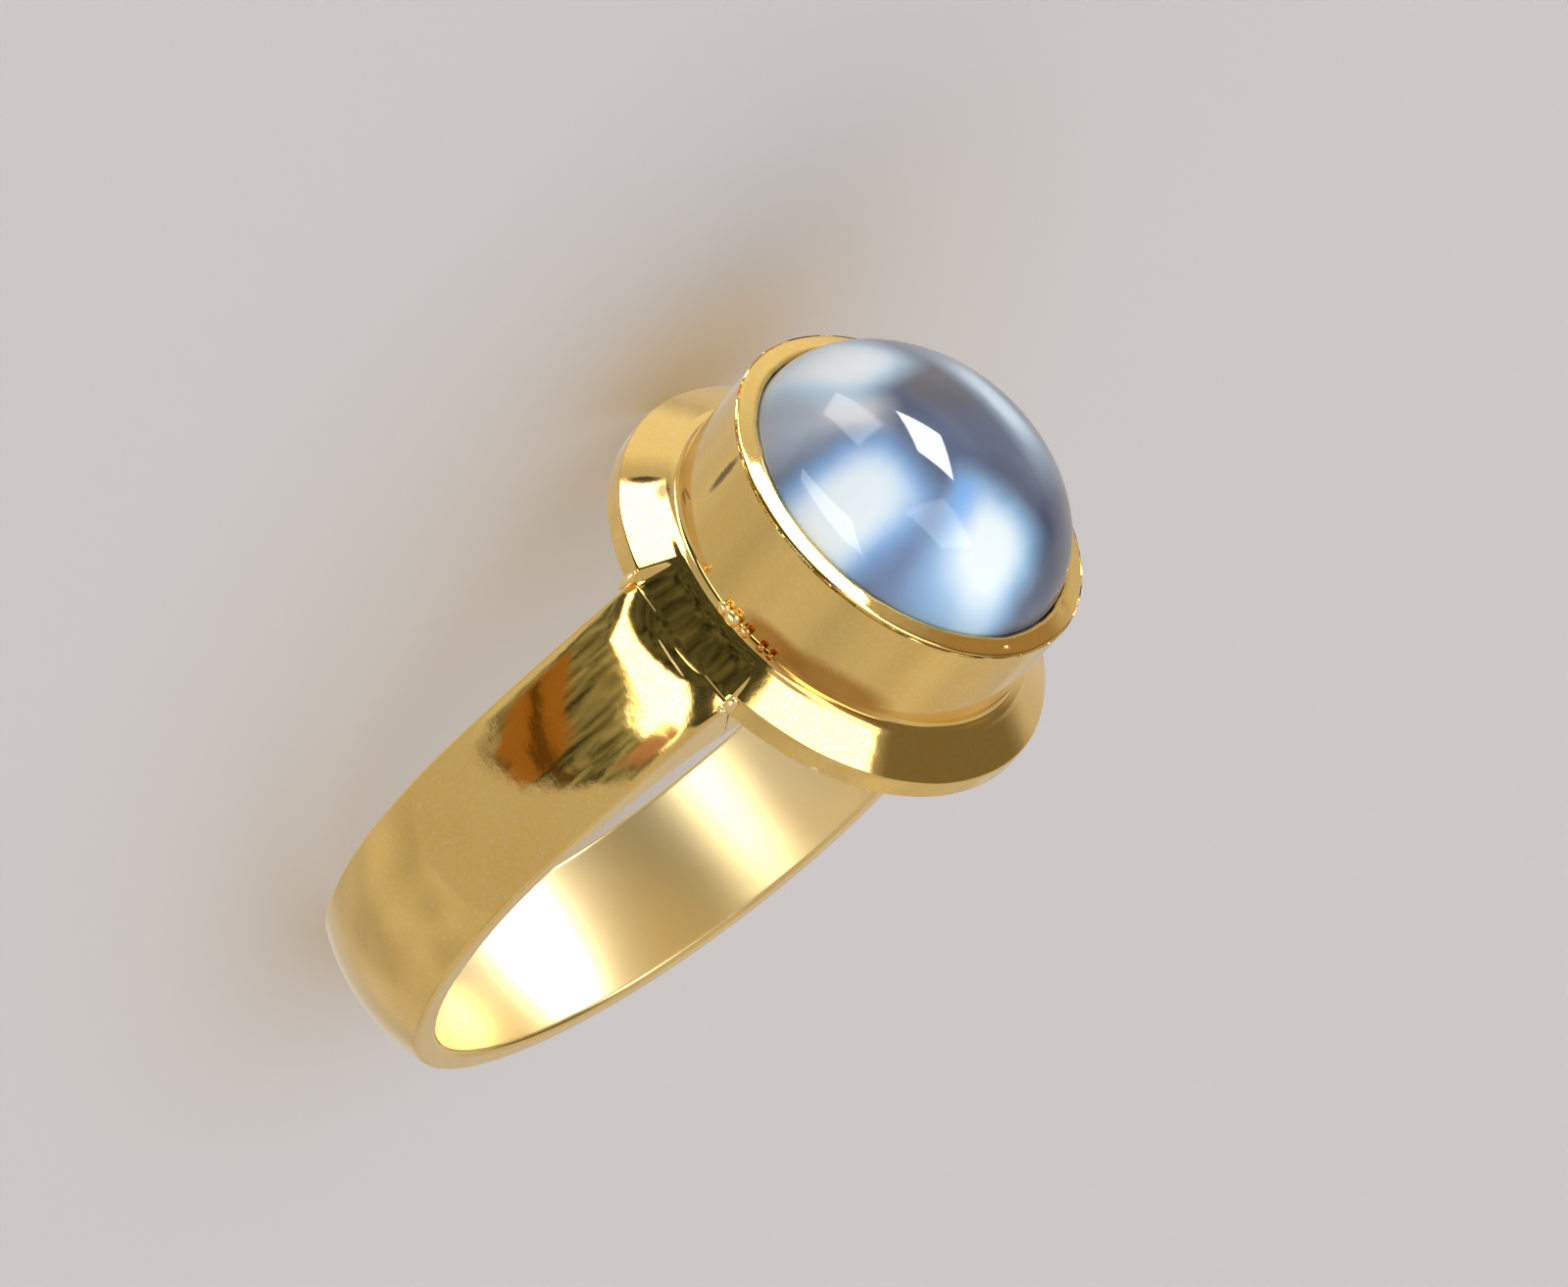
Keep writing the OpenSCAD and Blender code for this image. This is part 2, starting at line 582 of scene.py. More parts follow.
    def filed(self, radius: float, height: float, turn: float) -> Pair:
        """Files the plate's rim back to a slope over each shoulder, between the two solder seams.

        Args:
            radius: distance from the stone's axis.
            height: height above the finger hole's centre.
            turn: angle round the stone's axis, in radians.

        Returns:
            The changed radius and height.
        """
        off = abs((math.degrees(turn) + 90) % 180 - 90)
        share = ramp(off, self.filed_half, self.filed_half - self.filed_end)
        if share <= 0.0 or height < self.plate_z + 0.001:
            return radius, height
        lean = math.radians(self.filed_lean)
        out, up = math.cos(lean), math.sin(lean)
        inset = self.filed_inset
        proud = (radius - self.plate_r + inset) * out + (height - self.plate_z - inset) * up
        proud = 0.5 * (proud + math.hypot(proud, self.filed_round)) - inset
        proud = max(0.0, proud) * share
        return radius - out * proud, height - up * proud

    def wear(self, radius: float, height: float, turn: float) -> Pair:
        """Moves a profile point a little, for hand work and wear.

        Args:
            radius: distance from the stone's axis.
            height: height above the finger hole's centre.
            turn: angle round the stone's axis, in radians.

        Returns:
            The changed radius and height.
        """
        ring = (math.cos(turn) * self.pocket_r, math.sin(turn) * self.pocket_r, height)
        if radius > self.collar_r + self.near:
            inward = self.edge_wave.height - self.edge_wave.at(ring)
            radius, height = self.filed(radius, height, turn)
            return radius * (1 - inward / self.plate_r), height + self.slope_wave.at(ring)
        if height > self.top_z - self.near:
            ripple = sum(blow.at(ring) for blow in self.blows)
            lip = ramp(radius, self.collar_r - 0.2, self.collar_r - 0.5)
            drop = self.rim_wave.height + self.rim_wave.at(ring) + self.blow_dent * lip * abs(ripple)
            inward = self.rim_inward.height + self.rim_inward.at(ring)
            return radius + lip * max(-self.lip_gap, self.blow_reach * ripple) - inward, height - drop
        return radius + self.wall_wave.at(ring) - self.wall_wave.height, height

    def build(self, material: Material) -> Thing:
        """Turns the profile about the stone's axis.

        Args:
            material: its finish.

        Returns:
            One closed piece, at the origin.
        """
        maker = MeshMaker("plate_and_collar")
        line, count = self.outline(), 480
        rows: list[list[Point]] = []
        for i in range(count):
            turn = 2 * math.pi * i / count
            row: list[Point] = []
            for radius, height in line:
                r, z = self.wear(radius, height, turn) if radius > 0.5 else (radius, height)
                row.append((r * math.cos(turn), r * math.sin(turn), z))
            rows.append(row)
        maker.grid(rows, wrap_rows=True, wrap_columns=False)
        return maker.finish(material)


@dataclass(frozen=True)
class Bead:
    """One drop of solder, or with run set, one point of a thin run of it.

    Attributes:
        place: its middle in the upright ring, in millimetres.
        size: its half length, half width and half height in millimetres.
        along: direction of its length in the upright ring.
        out: direction in which it stands out of the metal.
        run: whether it is a point of a run, whose half width is the second size.
    """

    place: Point
    size: Point
    along: Point
    out: Point
    run: bool = False


POINT_DATA = (("run", "BOOLEAN"), ("size", "FLOAT_VECTOR"), ("turn", "FLOAT_VECTOR"))


@dataclass
class Solder:
    """Drops and thin runs of solder where the band meets the plate and the collar meets it.

    Attributes:
        joint: the drops at the plate's filed corners and the one below the plate.
        foot_r: distance of the drops at the collar's foot from the stone's axis.
        foot_z: height of those drops.
        foot_drops: angle round the stone and radius of each of them.
        run_arc: angles round the stone between which the thin run lies, in degrees.
        run_r: distance of the run from the stone's axis.
        run_z: height of the run halfway along the finger hole.
        run_fall: how far it falls for each degree.
        run_half: half of its thickness in its middle.
        unevenness: how far their surfaces wander, in millimetres.
        seed: fixed seed of that wandering.
    """

    joint: tuple[Bead, ...] = (
        Bead((6.38, -2.13, 8.9), (0.34, 0.12, 0.13), (-0.27, 0.0, 0.96), (0.95, -0.25, 0.25)),
        Bead((6.3, 2.15, 9.03), (0.26, 0.17, 0.17), (-0.25, 0.05, 0.96), (0.95, 0.25, 0.25)),
        Bead((6.42, 2.11, 8.78), (0.16, 0.14, 0.13), (0.3, 0.9, 0.1), (0.95, 0.25, 0.25)),
        Bead((4.78, 4.5, 8.7), (0.14, 0.06, 0.05), (-0.7, 0.7, 0.0), (0.7, 0.7, -0.2)),
        Bead((0.93, 4.97, 13.04), (0.09, 0.06, 0.045), (1.0, -0.2, 0.0), (0.0, 0.2, 0.98)),
        Bead((-6.25, -2.08, 8.86), (0.3, 0.09, 0.08), (0.27, 0.0, 0.96), (-0.95, -0.25, 0.25)),
        Bead((-6.22, 2.1, 8.92), (0.34, 0.1, 0.08), (0.27, 0.0, 0.96), (-0.95, 0.25, 0.25)),
    )
    foot_r: float = 5.42
    foot_z: float = 10.1
    foot_drops: tuple[Pair, ...] = (
        (0.0, 0.15),
        (3.8, 0.19),
        (8.8, 0.13),
        (15.0, 0.09),
        (18.4, 0.07),
        (176.0, 0.1),
        (181.5, 0.13),
        (190.0, 0.06),
    )
    run_arc: Pair = (-3.0, 13.0)
    run_r: float = 6.605
    run_z: float = 8.66
    run_fall: float = 0.012
    run_half: float = 0.034
    unevenness: float = 0.007
    seed: int = 7

    def points(self) -> list[Bead]:
        """Lists the solder.

        Returns:
            Every drop and every point of the run.
        """
        beads = list(self.joint)
        for angle, size in self.foot_drops:
            c, s = math.cos(math.radians(angle)), math.sin(math.radians(angle))
            spot = (self.foot_r * c, self.foot_r * s, self.foot_z)
            beads.append(Bead(spot, (size * 1.25, size, size * 0.8), (-s, c, 0.0), (c * 0.7, s * 0.7, 0.7)))
        start, end = self.run_arc
        for angle in between(start, end, 14):
            c, s = math.cos(math.radians(angle)), math.sin(math.radians(angle))
            spot = (self.run_r * c, self.run_r * s, self.run_z - self.run_fall * angle)
            size = self.run_half * math.sin(math.pi * (angle - start + 0.8) / (end - start + 1.5)) ** 0.5
            beads.append(Bead(spot, (size, size, size), (-s, c, 0.0), (c, s, 0.2), True))
        return beads

    def tree(self) -> Tree:
        """Makes the Geometry Nodes tree.

        Returns:
            The tree, which turns points into drops and joined points into runs.
        """
        group = bpy.data.node_groups.new("solder_drops_and_runs", "GeometryNodeTree")
        inputs = {"Geometry": "Geometry", "Unevenness": "Float", "Seed": "Float", "Finish": "Material"}
        for name, kind in inputs.items():
            group.interface.new_socket(name, in_out="INPUT", socket_type="NodeSocket" + kind)
        group.interface.new_socket("Geometry", in_out="OUTPUT", socket_type="NodeSocketGeometry")
        given = add_node(group, "NodeGroupInput").outputs
        own: dict[str, Socket] = {}
        for name, kind in POINT_DATA:
            node = add_node(group, "GeometryNodeInputNamedAttribute", {"Name": name}, data_type=kind)
            own[name] = next(socket for socket in node.outputs if socket.enabled)
        split = {0: given["Geometry"], "Selection": own["run"]}
        parts = add_node(group, "GeometryNodeSeparateGeometry", split).outputs
        ball = {"Radius": 1.0, "Subdivisions": 4}
        drop = add_node(group, "GeometryNodeMeshIcoSphere", ball).outputs["Mesh"]
        lie = add_node(group, "FunctionNodeEulerToRotation", {0: own["turn"]}).outputs[0]
        drops = {"Points": parts["Inverted"], "Instance": drop, "Rotation": lie, "Scale": own["size"]}
        drops = add_node(group, "GeometryNodeInstanceOnPoints", drops).outputs[0]
        curve = add_node(group, "GeometryNodeMeshToCurve", {0: parts["Selection"]}).outputs[0]
        thick = add_node(group, "ShaderNodeSeparateXYZ", {0: own["size"]}).outputs["Y"]
        curve = add_node(group, "GeometryNodeSetCurveRadius", {"Curve": curve, "Radius": thick}).outputs[0]
        ring = {"Resolution": 12, "Radius": 1.0}
        ring = add_node(group, "GeometryNodeCurvePrimitiveCircle", ring).outputs["Curve"]
        tube = {"Curve": curve, "Profile Curve": ring, "Scale": thick, "Fill Caps": True}
        runs = add_node(group, "GeometryNodeCurveToMesh", tube).outputs[0]
        solid = add_node(group, "GeometryNodeRealizeInstances", {0: drops}).outputs[0]
        both = add_node(group, "GeometryNodeJoinGeometry")
        group.links.new(solid, both.inputs[0])
        group.links.new(runs, both.inputs[0])
        # The drops froze as they flowed, so each is a little lopsided, in waves about 0.3 mm wide.
        spot = add_node(group, "GeometryNodeInputPosition").outputs[0]
        wander = {"Vector": spot, "W": given["Seed"], "Scale": 3500.0, "Detail": 0.0}
        wander = add_node(group, "ShaderNodeTexNoise", wander, noise_dimensions="4D").outputs["Color"]
        shift = {0: wander, 1: (0.5, 0.5, 0.5)}
        shift = add_node(group, "ShaderNodeVectorMath", shift, operation="SUBTRACT").outputs[0]
        shift = {0: shift, "Scale": given["Unevenness"]}
        shift = add_node(group, "ShaderNodeVectorMath", shift, operation="SCALE").outputs[0]
        moved = {"Geometry": both.outputs[0], "Offset": shift}
        moved = add_node(group, "GeometryNodeSetPosition", moved).outputs[0]
        smooth = add_node(group, "GeometryNodeSetShadeSmooth", {0: moved}).outputs[0]
        done = add_node(group, "GeometryNodeRealizeInstances", {0: smooth}).outputs[0]
        coated = {"Geometry": done, "Material": given["Finish"]}
        coated = add_node(group, "GeometryNodeSetMaterial", coated).outputs[0]
        add_node(group, "NodeGroupOutput", {"Geometry": coated})
        return group

    def build(self, material: Material) -> Thing:
        """Makes the drops and runs as one plain mesh.

        Args:
            material: their finish.

        Returns:
            The finished object, at the origin.
        """
        beads = self.points()
        mesh = bpy.data.meshes.new("solder_points")
        ends = [(i, i + 1) for i in range(len(beads) - 1) if beads[i].run and beads[i + 1].run]
        mesh.from_pydata([POSE.place(b.place) for b in beads], ends, [])
        for name, kind in POINT_DATA:
            mesh.attributes.new(name, kind, "POINT")
        run, size, turn = (mesh.attributes[name] for name, _ in POINT_DATA)
        for i, bead in enumerate(beads):
            length = POSE.turn(bead.along).normalized()
            side = POSE.turn(bead.out).cross(length).normalized()
            run.data[i].value = bead.run
            size.data[i].vector = [v * 0.001 for v in bead.size]
            turn.data[i].vector = Matrix([length, side, length.cross(side)]).transposed().to_euler()
        source = bpy.data.objects.new("solder_points", mesh)
        bpy.context.scene.collection.objects.link(source)
        group = self.tree()
        modifier = source.modifiers.new("solder", "NODES")
        modifier.node_group = group
        values = {"Unevenness": self.unevenness * 0.001, "Seed": float(self.seed), "Finish": material}
        for item in group.interface.items_tree:
            if item.in_out == "INPUT" and item.name in values:
                modifier[item.identifier] = values[item.name]
        bpy.context.view_layer.update()
        shown = source.evaluated_get(bpy.context.evaluated_depsgraph_get())
        plain = bpy.data.meshes.new_from_object(shown)
        plain.name = "solder_at_the_joints"
        plain.materials.clear()
        plain.materials.append(material)
        for face in plain.polygons:
            face.material_index = 0
        source.modifiers.remove(modifier)
        bpy.data.objects.remove(source)
        piece = bpy.data.objects.new("solder_at_the_joints", plain)
        bpy.context.scene.collection.objects.link(piece)
        return piece


@dataclass
class Cabochon:
    """Domed stone with a flat, bevelled base.

    Attributes:
        base_z: height of its base.
        girdle_r: radius of its widest part.
        lip_z: height up to which its side is upright.
        dome_z: height at which the dome starts.
        dome_r: radius of the dome there.
        dome_h: height of the dome, less 6 micrometres that keep it inside the solid's box.
        bevel: width and height of the bevel round the base.
    """

    base_z: float = 10.25
    girdle_r: float = 4.95
    lip_z: float = 12.3
    dome_z: float = RING.dome_z
    dome_r: float = RING.dome_r
    dome_h: float = RING.dome_h - 0.006
    bevel: float = 0.35

    def outline(self) -> list[Pair]:
        """Profile of the stone.

        Returns:
            Its points, from the middle of the base to the top of the dome.
        """
        line = [(0.0, self.base_z), (self.girdle_r - self.bevel, self.base_z)]
        line += [(self.girdle_r, self.base_z + self.bevel), (self.girdle_r, self.lip_z)]
        for i in range(49):
            turn = math.pi / 2 * i / 48
            line.append((self.dome_r * math.cos(turn), self.dome_z + self.dome_h * math.sin(turn)))
        return line

    def build(self, material: Material) -> Thing:
        """Turns the profile about the stone's axis.

        Args:
            material: its finish.

        Returns:
            One closed piece, at the origin.
        """
        maker = MeshMaker("moonstone_cabochon")
        line, count = self.outline(), 192
        turns = [2 * math.pi * i / count for i in range(count)]
        rows = [[(r * math.cos(t), r * math.sin(t), z) for r, z in line] for t in turns]
        maker.grid(rows, wrap_rows=True, wrap_columns=False)
        return maker.finish(material)


# How far the pits pull the edges of a painted patch about, in millimetres.
PULL = 0.16


@dataclass(frozen=True)
class PaintedGoldPatch:
    """One patch painted into the gold's colour: painted shade, a dark streak or an orange painted reflection
    of the plate.

    Attributes:
        place: its middle in the upright ring, in millimetres.
        reach: its half sizes in millimetres: away from the stone's axis, round it and along it.
        turn: direction of its middle round the stone's axis, in degrees.
        colour: colour painted there.
        share: how much of the gold's own colour it hides in the middle.
    """

    place: Point
    reach: Point
    turn: float
    colour: str
    share: float

    def cover(self, tree: Tree, place: Socket) -> Socket:
        """Adds the nodes that give how much of the gold's colour the painted patch hides.

        Args:
            tree: the material's node tree.
            place: the place in the upright ring, in millimetres, pulled about by the pits.

        Returns:
            The share, from 0 to the stain's own.
        """
        lay = {
            "Vector": place,
            "Location": tuple(v + PULL / 2 for v in self.place),
            "Rotation": (0.0, 0.0, math.radians(self.turn)),
            "Scale": self.reach,
        }
        local = add_node(tree, "ShaderNodeMapping", lay, vector_type="TEXTURE").outputs[0]
        far = add_node(tree, "ShaderNodeVectorMath", {0: local}, operation="LENGTH").outputs["Value"]
        fade = {0: far, 1: 1.25, 2: 0.5, 4: self.share}
        return add_node(tree, "ShaderNodeMapRange", fade, interpolation_type="SMOOTHSTEP").outputs[0]


@dataclass(frozen=True)
class YellowGold:
    """Polished 18 carat yellow gold, worn by use, with a satin inside to the finger hole.

    Attributes:
        name: name of the material.
        colour: colour of its mirror image.
        pale: colour where fine pits and dust scatter the light.
        deep: colour where the alloy is a little redder.
        painted_haze: paler colour painted inside the finger hole, which stands for a haze of light over it.
        polish: blur of the mirror image on the outside.
        satin: blur of the mirror image inside the finger hole.
        bore_r: radius of the finger hole in millimetres.
        wave: depth in metres of the waves left by filing and polishing by hand.
        pitting: depth of the pits, as a part of the depth of the waves.
        patchy: how much duller the redder patches are.
        painted_patches: the painted shade, dark streaks and painted reflections in its colour.
    """

    name: str = "hand_polished_yellow_gold"
    colour: str = "#f6d17a"
    pale: str = "#f6dfae"
    deep: str = "#f1c368"
    painted_haze: str = "#f8eabc"
    polish: float = 0.03
    satin: float = 0.3
    bore_r: float = RING.finger_r
    wave: float = 0.000006
    pitting: float = 0.11
    patchy: float = 0.045
    painted_patches: tuple[PaintedGoldPatch, ...] = (
        # In turn: a dark streak down the wall, one across the plate, painted shade at the collar's foot, and
        # two orange painted reflections of the plate.
        PaintedGoldPatch((4.62, -2.62, 12.1), (0.6, 0.13, 0.75), -29.5, "#6a5a44", 0.85),
        PaintedGoldPatch((4.2, -4.35, 9.62), (0.55, 0.15, 0.4), -46.0, "#40372a", 0.95),
        PaintedGoldPatch((4.2, -3.75, 9.85), (0.16, 0.34, 0.3), -42.0, "#5a4c38", 0.9),
        PaintedGoldPatch((5.1, 1.5, 10.35), (0.5, 1.1, 0.45), 16.0, "#b87e30", 0.85),
        PaintedGoldPatch((4.2, 3.2, 10.35), (0.6, 1.9, 0.6), 37.0, "#b87e30", 0.8),
    )

    def make(self) -> Material:
        """Makes the material's nodes.

        Returns:
            The material.
        """
        material = bpy.data.materials.new(self.name)
        material.use_nodes = True
        tree = material.node_tree
        tree.nodes.clear()
        place = ring_place(tree)
        # Waves about a millimetre wide, left by the file and the polishing stick, bend the reflections.
        filed = {"Vector": place, "Scale": 0.9, "Detail": 2.0, "Roughness": 0.45}
        wave = add_node(tree, "ShaderNodeTexNoise", filed).outputs["Fac"]
        # Pits and scratches of wear, about 0.1 mm apart, make the edges of the reflections ragged.
        worn = {"Vector": place, "Scale": 8.0, "Detail": 4.0, "Roughness": 0.65}
        pits = add_node(tree, "ShaderNodeTexNoise", worn).outputs
        height = {0: pits["Fac"], 1: self.pitting, 2: wave}
        height = add_node(tree, "ShaderNodeMath", height, operation="MULTIPLY_ADD").outputs[0]
        bump = add_node(tree, "ShaderNodeBump", {"Strength": 1.0, "Distance": self.wave, "Height": height})
        # Patches some millimetres wide where the alloy is redder, and specks where dust and pits are paler.
        alloy = {"Vector": place, "Scale": 0.35, "Detail": 3.0}
        patch = add_node(tree, "ShaderNodeTexNoise", alloy).outputs["Fac"]
        redder = add_node(tree, "ShaderNodeMapRange", {0: patch, 1: 0.45, 2: 0.7, 4: 0.45}).outputs[0]
        speck = add_node(tree, "ShaderNodeMapRange", {0: pits["Fac"], 1: 0.5, 2: 0.7, 4: 0.5}).outputs[0]
        # Inside the finger hole the gold is only satin, because no polishing buff reaches it well.
        flat = {0: place, 1: (1, 0, 1)}
        flat = add_node(tree, "ShaderNodeVectorMath", flat, operation="MULTIPLY").outputs[0]
        away = add_node(tree, "ShaderNodeVectorMath", {0: flat}, operation="LENGTH").outputs["Value"]
        edge = {0: away, 1: self.bore_r + 0.03, 2: self.bore_r + 0.01}
        inside = add_node(tree, "ShaderNodeMapRange", edge).outputs[0]
        # The finger hole is painted paler, which stands for a haze of light over it.
        painted_haze = add_node(tree, "ShaderNodeMath", {0: inside, 1: 0.8}, operation="MULTIPLY").outputs[0]
        layers = [(redder, self.deep), (speck, self.pale), (painted_haze, self.painted_haze)]
        # Painted shade at the collar's foot, dark streaks down the wall and across the plate, and orange
        # painted reflections of the plate low on the wall.
        ragged = {0: pits["Color"], 1: (PULL, PULL, PULL), 2: place}
        ragged = add_node(tree, "ShaderNodeVectorMath", ragged, operation="MULTIPLY_ADD").outputs[0]
        layers += [(gold_patch.cover(tree, ragged), gold_patch.colour) for gold_patch in self.painted_patches]
        colour: Colour | Socket = linear(self.colour)
        for share, over in layers:
            mix = {"Factor": share, 6: colour, 7: linear(over)}
            colour = add_node(tree, "ShaderNodeMix", mix, data_type="RGBA").outputs[2]
        blur = add_node(tree, "ShaderNodeMapRange", {0: inside, 3: self.polish, 4: self.satin}).outputs[0]
        blur = {0: patch, 1: self.patchy, 2: blur}
        blur = add_node(tree, "ShaderNodeMath", blur, operation="MULTIPLY_ADD").outputs[0]
        metal = {"Base Color": colour, "Metallic": 1.0, "Roughness": blur, "Normal": bump.outputs["Normal"]}
        shader = add_node(tree, "ShaderNodeBsdfPrincipled", metal)
        add_node(tree, "ShaderNodeOutputMaterial", {"Surface": shader.outputs["BSDF"]})
        return material


@dataclass(frozen=True)
class PaintedStonePatch:
    """One painted sheen or painted shade in the stone's colour, as a soft rounded rectangle seen along the
    stone's axis.

    Attributes:
        place: its middle across and along the finger hole, in millimetres.
        reach: its two half widths in millimetres.
        turn: its turn about the stone's axis, in degrees.
        core: its colour in the middle.
        fringe: its colour towards its edge.
        share: how much of what lies below it covers in the middle.
        edge: part of its half width over which it fades, inwards and outwards.
    """

    place: Pair
    reach: Pair
    turn: float
    core: str
    fringe: str
    share: float
    edge: float

    def lay_over(self, tree: Tree, place: Socket, below: Socket) -> Socket:
        """Lays the painted sheen or painted shade over the colour so far.

        Args:
            tree: the material's node tree.
            place: the place in the upright ring, in millimetres.
            below: the colour so far.

        Returns:
            The new colour.
        """
        lay = {
            "Vector": place,
            "Location": (*self.place, 0.0),
            "Rotation": (0.0, 0.0, math.radians(self.turn)),
            "Scale": (*self.reach, 1.0),
        }
        local = add_node(tree, "ShaderNodeMapping", lay, vector_type="TEXTURE").outputs[0]
        local = add_node(tree, "ShaderNodeVectorMath", {0: local}, operation="ABSOLUTE").outputs[0]
        sides = add_node(tree, "ShaderNodeSeparateXYZ", {0: local}).outputs
        far = {0: sides["X"], 1: sides["Y"], 2: 1.0}
        far = add_node(tree, "ShaderNodeMath", far, operation="SMOOTH_MAX").outputs[0]
        fade = {0: far, 1: 1.0 + self.edge, 2: 1.0 - self.edge, 4: self.share}
        share = add_node(tree, "ShaderNodeMapRange", fade, interpolation_type="SMOOTHSTEP").outputs[0]
        outer = {0: far, 1: 0.4, 2: 1.1}
        outer = add_node(tree, "ShaderNodeMapRange", outer, interpolation_type="SMOOTHSTEP").outputs[0]
        own = {"Factor": outer, 6: linear(self.core), 7: linear(self.fringe)}
        own = add_node(tree, "ShaderNodeMix", own, data_type="RGBA").outputs[2]
        mix = {"Factor": share, 6: below, 7: own}
        return add_node(tree, "ShaderNodeMix", mix, data_type="RGBA").outputs[2]


@dataclass(frozen=True)
class Moonstone:
    """Polished moonstone: a clear blue-grey body, with pale sheens and darker shades painted into its colour.

    Attributes:
        name: name of the material.
        body: colour of the body between the sheens.
        veil: colour of the fine clouds in it.
        pull: how far the veils pull the edges of the painted sheens and shades about, in millimetres.
        painted_shades_and_sheens: the painted shades and then the painted sheens, each over the ones before
            it.
    """

    name: str = "polished_moonstone"
    body: str = "#56617a"
    veil: str = "#757f90"
    pull: float = 0.25
    painted_shades_and_sheens: tuple[PaintedStonePatch, ...] = (
        PaintedStonePatch((0.0, -1.4), (2.1, 1.4), 10.0, "#59575d", "#5d6270", 0.85, 0.7),
        PaintedStonePatch((-2.4, 3.6), (2.2, 1.4), 40.0, "#3a3d46", "#484d5b", 0.9, 0.6),
        PaintedStonePatch((-1.0, 3.0), (1.1, 0.7), 30.0, "#36425e", "#465269", 0.75, 0.7),
        PaintedStonePatch((1.35, -0.5), (0.4, 1.4), 5.0, "#36445f", "#4a5976", 0.85, 0.7),
        PaintedStonePatch((1.6, 0.2), (0.8, 0.9), 0.0, "#485878", "#50607f", 0.5, 0.7),
        PaintedStonePatch((3.4, 2.5), (1.4, 1.1), -45.0, "#7389ae", "#667ba0", 0.9, 0.6),
        PaintedStonePatch((3.2, -2.7), (1.7, 1.1), 50.0, "#b0bbc8", "#93a2b8", 0.9, 0.6),
        PaintedStonePatch((2.6, -1.8), (0.6, 0.8), 40.0, "#d6d8dc", "#bcc4ce", 0.85, 0.6),
        PaintedStonePatch((1.3, -3.3), (1.5, 1.2), 8.0, "#f4fbff", "#bfe2f8", 1.0, 0.4),
        PaintedStonePatch((-1.75, -0.6), (0.65, 1.9), 8.0, "#def0ff", "#a4bccf", 0.95, 0.7),
        PaintedStonePatch((4.05, 0.35), (1.5, 1.35), 0.0, "#effaff", "#93c7ff", 1.0, 0.4),
        PaintedStonePatch((1.55, 3.05), (1.4, 1.35), 38.0, "#eef8fb", "#a6d6ff", 1.0, 0.5),
        PaintedStonePatch((1.75, 1.75), (0.6, 0.4), 38.0, "#7ab6ff", "#84b6f6", 0.6, 0.8),
    )

    def make(self) -> Material:
        """Makes the material's nodes.

        Returns:
            The material.
        """
        material = bpy.data.materials.new(self.name)
        material.use_nodes = True
        tree = material.node_tree
        tree.nodes.clear()
        place = ring_place(tree)
        # Veils up to a millimetre wide, grown in the stone, pull the edges of the painted sheens and shades
        # about.
        veils = {"Vector": place, "Scale": 1.1, "Detail": 4.0, "Roughness": 0.5}
        cloud = add_node(tree, "ShaderNodeTexNoise", veils).outputs
        shift = {0: cloud["Color"], 1: (0.5, 0.5, 0.5)}
        shift = add_node(tree, "ShaderNodeVectorMath", shift, operation="SUBTRACT").outputs[0]
        pulled = {0: shift, 1: (self.pull, self.pull, self.pull), 2: place}
        pulled = add_node(tree, "ShaderNodeVectorMath", pulled, operation="MULTIPLY_ADD").outputs[0]
        veil = add_node(tree, "ShaderNodeMapRange", {0: cloud["Fac"], 1: 0.45, 2: 0.75, 4: 0.3}).outputs[0]
        mix = {"Factor": veil, 6: linear(self.body), 7: linear(self.veil)}
        colour = add_node(tree, "ShaderNodeMix", mix, data_type="RGBA").outputs[2]
        # Painted shades and painted sheens are laid into the base colour, each over the colour so far.
        for stone_patch in self.painted_shades_and_sheens:
            colour = stone_patch.lay_over(tree, pulled, colour)
        # The polish mirrors the studio sharply, and the body below it scatters softly.
        glass = {
            "Base Color": colour,
            "Roughness": 0.4,
            "IOR": 1.52,
            "Specular IOR Level": 0.1,
            "Coat Weight": 1.0,
            "Coat Roughness": 0.02,
            "Coat IOR": 1.43,
        }
        shader = add_node(tree, "ShaderNodeBsdfPrincipled", glass)
        add_node(tree, "ShaderNodeOutputMaterial", {"Surface": shader.outputs["BSDF"]})
        return material


